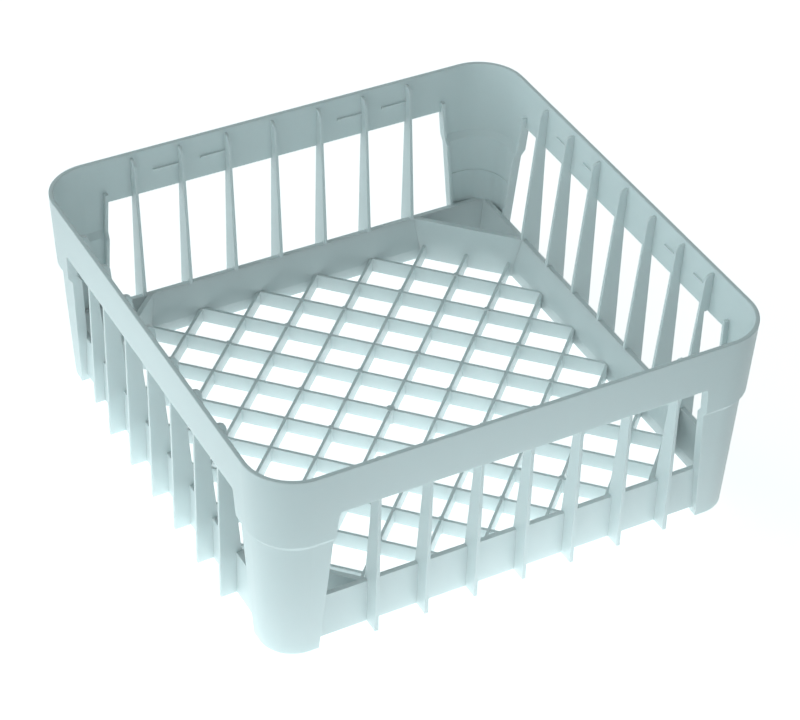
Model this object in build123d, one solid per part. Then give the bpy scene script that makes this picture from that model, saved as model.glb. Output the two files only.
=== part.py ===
from build123d import *
import math
import os

# Open square basket for glasses, moulded as one piece of polypropylene.
# X runs along the front wall, Y to the rear, Z up. The origin is the middle of
# the square that the four feet stand on. All sizes are in millimetres.

# Outer shell: a rim band that runs all round and drops into four corner posts
rack_size = 350.0            # outside width and depth at the rim
rack_height = 146.0          # feet to rim
corner_radius = 33.0         # outside corner radius at the rim
wall = 3.0                   # shell thickness
draft_angle = 3.0            # degrees that the outside leans in towards the feet
rim_bevel = 0.4              # bevel on the rim's two edges

# Side openings between the posts, open at the bottom
band_height = 32.5           # rim to the top of an opening
opening_margin = 48.3        # rim's outside face to the opening's edge, at its top
opening_flare = 8.3          # how much an opening widens each side, top to feet
opening_round = 2.0          # corner radius at the top of an opening

# Stacking ledge: a short slope where each post steps in
ledge_height = 89.0          # feet to the foot of the slope
ledge_rise = 4.5             # height of the slope
ledge_step = 3.0             # how far the slope steps in
inner_step_height = 62.0     # feet to the second step, inside the posts only
inner_step = 0.6             # extra post thickness below that step

# Stiffening flange along both edges of each post
flange_depth = 6.6           # post's outside face to the flange's inner edge
flange_width = 2.2
flange_rise = 8.0            # flange's top above the top of the opening

# Skirt: the low inner wall that carries the floor
skirt_setback = 14.3         # rim's outside face to the skirt's outside face
skirt_wall = 3.4
skirt_top = 38.1             # feet to the skirt's top edge
skirt_bottom = 4.7           # feet to the skirt's bottom edge
corner_cut = 58.8            # leg of the 45 degree panel across each skirt corner

# Floor: ribs on both diagonals that cross at the middle
floor_top = 16.1             # feet to the ribs' top edges
rib_pitch = 31.25            # rib to rib, square across
rib_width = 2.1
pad_diameter = 4.2           # ejector pad on a crossing
gate_diameter = 6.2          # the middle pad, where the plastic enters
pad_proud = 0.8              # pad's top above the ribs
pad_sides = 8
pad_ring = 5                 # crossings out from the middle to the outer ring of pads
pad_grid = 2                 # crossings out from the middle to the inner pads

# Blades: upright fins across each opening, thicker towards the feet
blade_pitch = 34.4
blade_top_width = 1.8
blade_foot_width = 2.6
blade_edge_gap = 15.0        # least room between the last blade and the post
blade_setback = 3.6          # rim's outside face to the blades' outer edge
short_blade_setback = 7.6    # the same for the first blade of each side row, counted from its left
blade_tip_drop = 3.2         # rim to the blade's rounded top
blade_tip_round = 5.0
blade_reach = 6.0            # blade's depth inside the band, at its top
blade_lap = 0.4              # how far a blade stands inside the skirt, at the skirt's top
blade_root = 5.0             # height over which that lap runs back into the skirt
front_row_shift = 3.8        # front row's middle, right of the wall's middle; rear row half a turn from it
side_row_shift = -1.7        # the same for the two side rows, each seen from outside

# Short ridges inside the band, beside the outer blades
ridge_drop = 16.6            # rim to ridge
ridge_length = 19.5
ridge_height = 1.4
ridge_proud = 1.2

# Worked out from the sizes above
half = rack_size / 2
lean = math.tan(math.radians(draft_angle))
slope_angle = math.degrees(math.atan(ledge_step / ledge_rise))
slope_top = ledge_height + ledge_rise
opening_top = rack_height - band_height
opening_half = half - opening_margin
skirt_half = half - skirt_setback
floor_half = skirt_half - skirt_wall
panel_sum = 2 * skirt_half - corner_cut      # x + y along a corner panel's outer face
crossing = rib_pitch / math.sqrt(2)          # half the way between crossings in a row
blades_each_way = math.floor((opening_half - blade_edge_gap) / blade_pitch)
bite = 0.6                                   # how far one feature runs into the next


def shell_face(z):
    # half width over the shell's outside at a height
    if z >= slope_top:
        return half - lean * (rack_height - z)
    slope_face = shell_face(slope_top)
    if z >= ledge_height:
        return slope_face - ledge_step * (slope_top - z) / ledge_rise
    return slope_face - ledge_step - lean * (ledge_height - z)


def tapered_block(inset, top_z, bottom_z, taper):
    # the shell's rounded square at top_z, moved inwards by inset, shrinking on its way down
    face = shell_face(top_z)
    width = 2 * (face - inset)
    outline = Pos(0, 0, top_z) * RectangleRounded(width, width, corner_radius - (half - face) - inset)
    return extrude(outline, top_z - bottom_z, dir=(0, 0, -1), taper=taper)


def stepped_block(inset, bottom_z):
    # the shell's form, moved inwards by inset, with its slope
    upper = tapered_block(inset, rack_height, slope_top, draft_angle)
    slope = tapered_block(inset, slope_top, ledge_height, slope_angle)
    lower = tapered_block(inset, ledge_height, bottom_z, draft_angle)
    return upper + slope + lower


def on_all_sides(shape):
    # the front wall's features, turned to the other three walls
    return [Rot(0, 0, 90 * turn) * shape for turn in range(4)]


def opening_edge(z):
    # half width of a side opening at a height
    return opening_half + opening_flare * (opening_top - z) / opening_top


def through_prism(points, corner=0.0):
    # an outline in X and Z, run through the whole rack along Y
    outline = make_face(Polyline(*points, close=True))
    if corner > 0:
        outline = fillet(outline.vertices().group_by(Axis.Y)[-1], corner)
    return extrude(Plane.XZ * outline, half + wall, both=True)


def rim_block(inset, depth, taper):
    # a rounded square in the rim's plane, carried down at an angle
    outline = Pos(0, 0, rack_height) * RectangleRounded(
        2 * (half - inset), 2 * (half - inset), corner_radius - inset)
    return extrude(outline, depth, dir=(0, 0, -1), taper=taper)


def bevelled_rim(body):
    # outside edge cut by a spreading block, inside edge by a narrowing one
    body = body & rim_block(rim_bevel, rack_height, -45)
    return body - rim_block(wall - rim_bevel, wall, 45)


def shell():
    outside = stepped_block(0, 0)
    inside = stepped_block(wall, inner_step_height)
    inside += tapered_block(wall + inner_step, inner_step_height, 0, draft_angle)
    body = bevelled_rim(outside - inside)
    low = -wall
    opening = through_prism([
        (-opening_half, opening_top), (opening_half, opening_top),
        (opening_edge(low), low), (-opening_edge(low), low),
    ], opening_round)
    return body - [opening, Rot(0, 0, 90) * opening], outside


def flanges(outside):
    high = opening_top + flange_rise
    slabs = []
    for side in (-1, 1):
        slab = through_prism([
            (side * opening_edge(high), high), (side * (opening_edge(high) + flange_width), high),
            (side * (opening_edge(0) + flange_width), 0), (side * opening_edge(0), 0),
        ])
        slabs += [slab, Rot(0, 0, 90) * slab]
    skin = outside - stepped_block(flange_depth, 0)
    return [skin & slab for slab in slabs]


def skirt(outside):
    height = skirt_top - skirt_bottom
    middle = (skirt_top + skirt_bottom) / 2
    ring = Pos(0, 0, middle) * (Box(2 * skirt_half, 2 * skirt_half, height)
                                - Box(2 * floor_half, 2 * floor_half, height))
    # the corners of the ring end inside the posts
    ring = ring & outside
    reach = (panel_sum - skirt_wall / math.sqrt(2)) / math.sqrt(2)
    length = corner_cut * math.sqrt(2) - 2 * skirt_wall + 2 * bite
    panel = Rot(0, 0, 45) * Pos(reach, 0, middle) * Box(skirt_wall, length, height)
    return [ring] + on_all_sides(panel)


def inside_floor(x, y, room):
    # whether a pad of half width room lies within the skirt and its corner panels
    within_walls = max(abs(x), abs(y)) + room < floor_half
    return within_walls and abs(x) + abs(y) + 2 * room < panel_sum - 2 * skirt_wall


def floor_grid():
    height = floor_top - skirt_bottom
    middle = (floor_top + skirt_bottom) / 2
    inner_sum = panel_sum - skirt_wall * math.sqrt(2)
    field = Pos(0, 0, middle) * Box(2 * (floor_half + bite), 2 * (floor_half + bite), height)
    width = math.sqrt(2) * inner_sum + 2 * bite
    field = field & (Pos(0, 0, middle) * Rot(0, 0, 45) * Box(width, width, height))
    rows = math.floor(inner_sum / math.sqrt(2) / rib_pitch)
    ribs = []
    for turn in (45, -45):
        for row in range(-rows, rows + 1):
            rib = Pos(0, row * rib_pitch, middle) * Box(4 * half, rib_width, height)
            ribs.append((Rot(0, 0, turn) * rib) & field)
    return ribs


def pads():
    odd = range(-pad_ring, pad_ring + 1, 2)
    ring = [(i, j) for i in odd for j in odd if max(abs(i), abs(j)) == pad_ring]
    even = range(-pad_grid, pad_grid + 1, pad_grid)
    grid = [(i, j) for i in even for j in even]
    height = floor_top + pad_proud - skirt_bottom
    found = []
    for i, j in ring + grid:
        radius = (gate_diameter if i == j == 0 else pad_diameter) / 2
        x, y = i * crossing, j * crossing
        if inside_floor(x, y, radius):
            found.append(extrude(Pos(x, y, skirt_bottom) * RegularPolygon(radius, pad_sides), height))
    return found


def blade(setback):
    tip_z = rack_height - blade_tip_drop
    tip = (shell_face(tip_z) - wall - blade_reach, tip_z)
    lap = (floor_half - blade_lap, skirt_top)
    outer = half - setback
    outline = make_face(Polyline(
        (shell_face(tip_z) - wall / 2, tip_z), tip, lap,
        (floor_half + skirt_wall / 2, skirt_top - blade_root), (floor_half + skirt_wall / 2, skirt_bottom),
        (outer, skirt_bottom), (outer, opening_top + bite),
        (shell_face(opening_top) - wall / 2, opening_top + bite), close=True,
    ))
    corner = outline.vertices().sort_by_distance((tip[0], tip[1], 0))[0]
    outline = fillet(corner, blade_tip_round)
    # the outline's first axis points out of the front wall
    side_on = Plane((0, 0, 0), x_dir=(0, -1, 0), z_dir=(-1, 0, 0))
    slab = extrude(side_on * outline, blade_foot_width, both=True)
    top, foot = blade_top_width / 2, blade_foot_width / 2
    wedge = through_prism([(-top, tip_z), (top, tip_z), (foot, skirt_bottom), (-foot, skirt_bottom)])
    return slab & wedge


def in_row(feature, turn, n):
    # a front wall feature at the n-th place from the row's middle, turned to one of the four walls
    shift = front_row_shift if turn % 2 == 0 else side_row_shift
    return Rot(0, 0, 90 * turn) * Pos(n * blade_pitch + shift, 0, 0) * feature


def blades():
    full = blade(blade_setback)
    short = blade(short_blade_setback)
    found = []
    for turn in range(4):
        for n in range(-blades_each_way, blades_each_way + 1):
            first_on_side = turn % 2 == 1 and n == -blades_each_way
            found.append(in_row(short if first_on_side else full, turn, n))
    return found


def ridges():
    z = rack_height - ridge_drop
    ridge = Box(ridge_length, 2 * ridge_proud, ridge_height)
    # each ridge starts at the right side of its blade, in the two outer gaps of either end
    beside = Pos(ridge_length / 2, wall - shell_face(z), z) * ridge
    gaps = range(-blades_each_way, blades_each_way)
    places = sorted(set(gaps[:2]) | set(gaps[-2:]))
    return [in_row(beside, turn, n) for turn in range(4) for n in places]


body, outside = shell()
features = flanges(outside) + skirt(outside) + floor_grid() + pads() + blades() + ridges()
glass_rack = body.fuse(*features).clean()

os.makedirs("parts", exist_ok=True)
export_step(glass_rack, "parts/glass_rack.step")
print("solids", len(glass_rack.solids()), "volume", round(glass_rack.volume))
print("box", glass_rack.bounding_box())
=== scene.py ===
import bpy
import math
import numpy as np
from mathutils import Matrix, Vector


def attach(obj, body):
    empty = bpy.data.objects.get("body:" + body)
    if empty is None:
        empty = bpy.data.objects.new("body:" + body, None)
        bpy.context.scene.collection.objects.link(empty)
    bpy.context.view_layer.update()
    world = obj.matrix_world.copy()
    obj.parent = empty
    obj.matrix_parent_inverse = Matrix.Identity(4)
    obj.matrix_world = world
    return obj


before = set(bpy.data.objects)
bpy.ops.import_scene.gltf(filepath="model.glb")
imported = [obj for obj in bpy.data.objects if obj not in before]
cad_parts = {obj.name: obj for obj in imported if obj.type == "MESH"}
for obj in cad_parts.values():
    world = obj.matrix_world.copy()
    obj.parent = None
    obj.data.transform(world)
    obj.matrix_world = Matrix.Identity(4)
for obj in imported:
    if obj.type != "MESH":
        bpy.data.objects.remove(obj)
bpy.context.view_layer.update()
mm = 0.001


def linear(hexColour):  # sRGB hex to the linear colour that shaders take, by the sRGB curve
    parts = [int(hexColour[i:i + 2], 16) / 255 for i in (1, 3, 5)]
    return tuple(c / 12.92 if c <= 0.04045 else ((c + 0.055) / 1.055) ** 2.4 for c in parts) + (1.0,)


def addNode(tree, kind, sockets=None, **settings):  # one node with its settings, values and links
    made = tree.nodes.new(kind)
    for name, value in settings.items():
        setattr(made, name, value)
    for name, value in (sockets or {}).items():
        if isinstance(value, bpy.types.NodeSocket):
            tree.links.new(value, made.inputs[name])
        else:
            made.inputs[name].default_value = value
    return made


def addUp(tree, parts):  # running total of several value sockets
    total = parts[0]
    for part in parts[1:]:
        total = addNode(tree, "ShaderNodeMath", {0: total, 1: part}, operation="ADD").outputs["Value"]
    return total


def seenDirectly(tree):  # 1 for rays from the camera, and for reflected and refracted ones, else 0
    rays = addNode(tree, "ShaderNodeLightPath").outputs
    pair = addNode(tree, "ShaderNodeMath", {
        0: rays["Is Camera Ray"], 1: rays["Is Glossy Ray"],
    }, operation="MAXIMUM")
    return addNode(tree, "ShaderNodeMath", {
        0: pair.outputs["Value"], 1: rays["Is Transmission Ray"],
    }, operation="MAXIMUM").outputs["Value"]


def emptyTree(owner):  # switches an owner to nodes and clears what Blender puts there
    owner.use_nodes = True
    owner.node_tree.nodes.clear()
    return owner.node_tree


# Moulded polypropylene: pale aqua grey with a satin skin, and a little glow where light enters thin ribs
plastic = {
    "colour": "#dde3e3",
    "paler": "#e1e7e7",
    "cloudSize": 70 * mm,      # slow drift in the pigment
    "grainSize": 0.9 * mm,     # mould texture, drawn coarser than the real one so that it shows
    "grainDepth": 0.015 * mm,
    "waveSize": 26 * mm,       # shrinkage waves in the thin walls
    "waveDepth": 0.08 * mm,
    "noiseDetail": 2.0,
    "edgeRound": 0.35 * mm,    # soft moulded edges
    "edgeSamples": 4,
    "grainLow": 0.3,           # the grain's own range, spread over the two roughnesses
    "grainHigh": 0.7,
    "roughLow": 0.32,
    "roughHigh": 0.42,
    "ior": 1.49,
    "glow": 0.45,              # share of the light that scatters inside
    "glowDepth": (2.4 * mm, 2.7 * mm, 2.7 * mm),
}


def polypropylene(look):  # cloud mixes the tones, grain sets gloss and fine bumps, wave bends the walls
    material = bpy.data.materials.new("moulded polypropylene")
    tree = emptyTree(material)
    place = addNode(tree, "ShaderNodeTexCoord").outputs["Object"]
    cloud, grain, wave = [addNode(tree, "ShaderNodeTexNoise", {
        "Vector": place, "Scale": 1 / look[size], "Detail": look["noiseDetail"],
    }).outputs["Fac"] for size in ("cloudSize", "grainSize", "waveSize")]
    colour = addNode(tree, "ShaderNodeMixRGB", {
        "Fac": cloud, "Color1": linear(look["colour"]), "Color2": linear(look["paler"]),
    })
    rough = addNode(tree, "ShaderNodeMapRange", {
        "Value": grain, "From Min": look["grainLow"], "From Max": look["grainHigh"],
        "To Min": look["roughLow"], "To Max": look["roughHigh"],
    })
    edge = addNode(tree, "ShaderNodeBevel", {"Radius": look["edgeRound"]}, samples=look["edgeSamples"])
    broad = addNode(tree, "ShaderNodeBump", {
        "Height": wave, "Distance": look["waveDepth"], "Normal": edge.outputs["Normal"],
    })
    fine = addNode(tree, "ShaderNodeBump", {
        "Height": grain, "Distance": look["grainDepth"], "Normal": broad.outputs["Normal"],
    })
    shader = addNode(tree, "ShaderNodeBsdfPrincipled", {
        "Base Color": colour.outputs["Color"], "Roughness": rough.outputs["Result"], "IOR": look["ior"],
        "Normal": fine.outputs["Normal"], "Subsurface Weight": look["glow"],
        "Subsurface Radius": look["glowDepth"], "Subsurface Scale": 1.0,  # the depths are real lengths
    })
    addNode(tree, "ShaderNodeOutputMaterial", {"Surface": shader.outputs["BSDF"]})
    return material


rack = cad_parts["glass_rack"]
rackPlastic = polypropylene(plastic)
rack.data.materials.clear()
rack.data.materials.append(rackPlastic)
print("plastic set")


def mouldedPiece(name, corners, faces):  # a mesh of the rack's plastic that rides with the rack
    mesh = bpy.data.meshes.new(name)
    mesh.from_pydata(corners.reshape(-1, 3).tolist(), [], faces.reshape(-1, 4).tolist())
    mesh.materials.append(rackPlastic)
    piece = bpy.data.objects.new(name, mesh)
    bpy.context.collection.objects.link(piece)
    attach(piece, "root")


# Skirt foot: the skirt's inside leans in towards the floor, then drops straight to its bottom edge
skirtFoot = {
    "skirtFace": 157.3 * mm,   # middle of the rack to the skirt's inside
    "lap": 0.5 * mm,           # how far it stands in the skirt
    "width": 4.0 * mm,
    "top": 37.6 * mm,
    "bend": 13.0 * mm,         # where the lean ends
    "foot": 4.5 * mm,
}


# A section carried round the square: each corner's signs times the section's reach, at the section's height
def footRing(look):
    face, inner = look["skirtFace"], look["skirtFace"] - look["width"]
    reach = np.array([face + look["lap"], inner, inner, face, face + look["lap"]])
    height = np.array([look["foot"], look["foot"], look["bend"], look["top"], look["top"]])
    signs = np.array([(1, 1), (-1, 1), (-1, -1), (1, -1)])
    corners = np.empty((len(signs), len(reach), 3))
    corners[:, :, :2] = signs[:, None, :] * reach[None, :, None]
    corners[:, :, 2] = height
    here = np.arange(len(signs) * len(reach)).reshape(len(signs), len(reach))
    above = np.roll(here, -1, axis=1)
    faces = np.stack([here, above, np.roll(above, -1, axis=0), np.roll(here, -1, axis=0)], axis=-1)
    mouldedPiece("skirtFoot", corners, faces)


footRing(skirtFoot)

# Panel core: a bar inside each corner panel that runs on into the skirt, so that the joint is closed
panelCore = {
    "away": 182.34 * mm,       # middle of the rack to the bar's inside, on the diagonal
    "thick": 1.6 * mm,
    "halfLength": 40.8 * mm,
    "top": 38.05 * mm,
    "foot": 4.75 * mm,
    "turns": (45, 135, 225, 315),
}


def panelBars(look):  # one box lying across +X, turned about the upright axis to each corner
    near, far, end = look["away"], look["away"] + look["thick"], look["halfLength"]
    box = np.empty((2, 4, 3))  # foot and top, each with four corners
    box[:, :, :2] = np.array([(near, -end), (far, -end), (far, end), (near, end)])
    box[:, :, 2] = np.array([look["foot"], look["top"]])[:, None]
    turns = np.radians(np.array(look["turns"]))[:, None, None]
    cosine, sine = np.cos(turns), np.sin(turns)
    x, y, z = box[None, :, :, 0], box[None, :, :, 1], box[None, :, :, 2]
    turned = np.broadcast_arrays(x * cosine - y * sine, x * sine + y * cosine, z)
    sides = np.array([(0, 1, 5, 4), (1, 2, 6, 5), (2, 3, 7, 6), (3, 0, 4, 7), (3, 2, 1, 0), (4, 5, 6, 7)])
    faces = sides[None, :, :] + z.size * np.arange(len(turns))[:, None, None]
    mouldedPiece("panelCore", np.stack(turned, axis=-1), faces)


panelBars(panelCore)
print("skirt foot and panel cores set")

# White acrylic table: plain white where it is seen, and soft glows in it light the rack from below
table = {
    "colour": "#f4f5f5",
    "lightColour": "#eefcff",
    "side": 6.0,               # metres, as the places and reaches of the glows are
    "seenGlow": 0.82,
    "glows": [
        {"place": (0.0, 0.0, 0.0), "reach": 0.20, "level": 0.97},       # under the rack
        {"place": (0.05, -0.23, 0.0), "reach": 0.13, "level": 0.82},    # before the front wall
        {"place": (-0.12, -0.32, 0.0), "reach": 0.18, "level": 0.80},
        {"place": (-0.30, 0.0, 0.0), "reach": 0.22, "level": 0.94},     # beside the left wall
        {"place": (0.28, 0.28, 0.0), "reach": 0.22, "level": 0.50},     # behind the far corner
    ],
}


def glowAt(tree, place, glow):  # level times e to the power of minus the square of distance over reach
    away = addNode(tree, "ShaderNodeVectorMath", {0: place, 1: glow["place"]}, operation="DISTANCE")
    share = addNode(tree, "ShaderNodeMath", {
        0: away.outputs["Value"], 1: glow["reach"],
    }, operation="DIVIDE")
    square = addNode(tree, "ShaderNodeMath", {0: share.outputs["Value"], 1: 2.0}, operation="POWER")
    fall = addNode(tree, "ShaderNodeMath", {
        0: math.exp(-1), 1: square.outputs["Value"],
    }, operation="POWER")
    return addNode(tree, "ShaderNodeMath", {
        0: fall.outputs["Value"], 1: glow["level"],
    }, operation="MULTIPLY").outputs["Value"]


def lightTable(look):  # a square at the feet: one white where it is seen, else the sum of the glows
    half = look["side"] / 2
    corners = [(-half, -half, 0), (half, -half, 0), (half, half, 0), (-half, half, 0)]
    mesh = bpy.data.meshes.new("lightTable")
    mesh.from_pydata(corners, [], [(0, 1, 2, 3)])
    floor = bpy.data.objects.new("lightTable", mesh)
    bpy.context.collection.objects.link(floor)
    material = bpy.data.materials.new("white acrylic table")
    tree = emptyTree(material)
    place = addNode(tree, "ShaderNodeTexCoord").outputs["Object"]
    glow = addUp(tree, [glowAt(tree, place, one) for one in look["glows"]])
    seen = seenDirectly(tree)
    level = addNode(tree, "ShaderNodeMapRange", {"Value": seen, "To Min": glow, "To Max": look["seenGlow"]})
    tone = addNode(tree, "ShaderNodeMixRGB", {
        "Fac": seen, "Color1": linear(look["lightColour"]), "Color2": linear(look["colour"]),
    })
    matt = addNode(tree, "ShaderNodeBsdfDiffuse", {"Color": linear(look["colour"])})
    lit = addNode(tree, "ShaderNodeEmission", {
        "Color": tone.outputs["Color"], "Strength": level.outputs["Result"],
    })
    both = addNode(tree, "ShaderNodeAddShader", {0: matt.outputs["BSDF"], 1: lit.outputs["Emission"]})
    addNode(tree, "ShaderNodeOutputMaterial", {"Surface": both.outputs["Shader"]})
    mesh.materials.append(material)


lightTable(table)

# Studio: white where it is seen, and soft boxes round the rack, the strongest at the back left
studio = {
    "lightColour": "#e6fcff",
    "seenColour": "#ffffff",
    "seenLevel": 1.0,
    "boxes": [
        {"towards": (-1.0, 0.0, 0.18), "sharpness": 4.0, "level": 1.05},
        {"towards": (-0.7, 0.5, 0.5), "sharpness": 6.0, "level": 1.25},
        {"towards": (0.0, -1.0, 0.18), "sharpness": 4.0, "level": 0.80},
        {"towards": (0.75, 0.75, 0.35), "sharpness": 4.0, "level": 0.60},
    ],
}


def softBox(tree, way, box):  # level times the cosine from the box's middle, to the power of its sharpness
    middle = Vector(box["towards"]).normalized()
    cosine = addNode(tree, "ShaderNodeVectorMath", {0: way, 1: middle}, operation="DOT_PRODUCT")
    front = addNode(tree, "ShaderNodeMath", {0: cosine.outputs["Value"], 1: 0.0}, operation="MAXIMUM")
    fall = addNode(tree, "ShaderNodeMath", {
        0: front.outputs["Value"], 1: box["sharpness"],
    }, operation="POWER")
    return addNode(tree, "ShaderNodeMath", {
        0: fall.outputs["Value"], 1: box["level"],
    }, operation="MULTIPLY").outputs["Value"]


def whiteStudio(look):  # one white where it is seen, else the sum of the soft boxes
    world = bpy.data.worlds.new("studio")
    bpy.context.scene.world = world
    tree = emptyTree(world)
    way = addNode(tree, "ShaderNodeTexCoord").outputs["Generated"]
    level = addUp(tree, [softBox(tree, way, box) for box in look["boxes"]])
    light = addNode(tree, "ShaderNodeBackground", {"Color": linear(look["lightColour"]), "Strength": level})
    white = addNode(tree, "ShaderNodeBackground", {
        "Color": linear(look["seenColour"]), "Strength": look["seenLevel"],
    })
    pick = addNode(tree, "ShaderNodeMixShader", {
        0: seenDirectly(tree), 1: light.outputs["Background"], 2: white.outputs["Background"],
    })
    addNode(tree, "ShaderNodeOutputWorld", {"Surface": pick.outputs["Shader"]})


whiteStudio(studio)
print("table and studio set")

# Camera fitted to the photograph: the rim's square, the floor grid and the corner posts line up
shot = {
    "aim": (-16.38 * mm, -40.19 * mm, 92.09 * mm),
    "distance": 1696.9 * mm,
    "azimuth": 29.06,          # degrees that the view turns from +Y towards +X
    "elevation": 38.64,
    "roll": 1.86,
    "focalPixels": 2684.0,     # in the 800 pixel wide frame
    "frameWidth": 800.0,
    "sensor": 36.0,
}


def fittedCamera(look):  # stands at the aim less the view direction times the distance, and rolls about it
    turn, lift = math.radians(look["azimuth"]), math.radians(look["elevation"])
    ahead = Vector((math.sin(turn) * math.cos(lift), math.cos(turn) * math.cos(lift), -math.sin(lift)))
    place = Vector(look["aim"]) - ahead * look["distance"]
    facing = ahead.to_track_quat("-Z", "Y").to_matrix().to_4x4()
    roll = Matrix.Rotation(math.radians(look["roll"]), 4, "Z")
    data = bpy.data.cameras.new("photoView")
    data.sensor_fit = "HORIZONTAL"
    data.sensor_width = look["sensor"]
    data.lens = look["sensor"] * look["focalPixels"] / look["frameWidth"]
    camera = bpy.data.objects.new("photoView", data)
    camera.matrix_world = Matrix.Translation(place) @ facing @ roll
    bpy.context.collection.objects.link(camera)
    bpy.context.scene.camera = camera


fittedCamera(shot)
bpy.context.scene.view_settings.view_transform = "Standard"
print("camera set")
